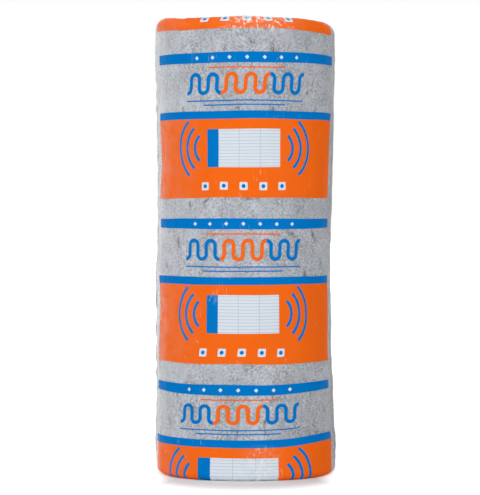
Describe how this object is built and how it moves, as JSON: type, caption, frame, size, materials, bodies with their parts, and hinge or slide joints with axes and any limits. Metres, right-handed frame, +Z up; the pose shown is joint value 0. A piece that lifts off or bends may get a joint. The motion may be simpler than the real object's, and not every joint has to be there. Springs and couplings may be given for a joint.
{
  "type": "insulation roll",
  "caption": "Upright roll of compressed fibre insulation blanket in a printed clear film sleeve that is drawn in over both ends around an open eye.",
  "frame": {"origin": "middle of the roll's underside, on the floor it stands on", "axes": "+Z up along the roll's axis, -Y towards the printed front"},
  "size_m": [0.4821, 0.4822, 1.2022],
  "materials": {
    "felt": "mottled grey recycled fibre felt",
    "film": "clear glossy film with orange, blue and white print"
  },
  "bodies": {
    "root": {"felt_roll": "felt", "film_sleeve": "film"}
  },
  "joints": []
}
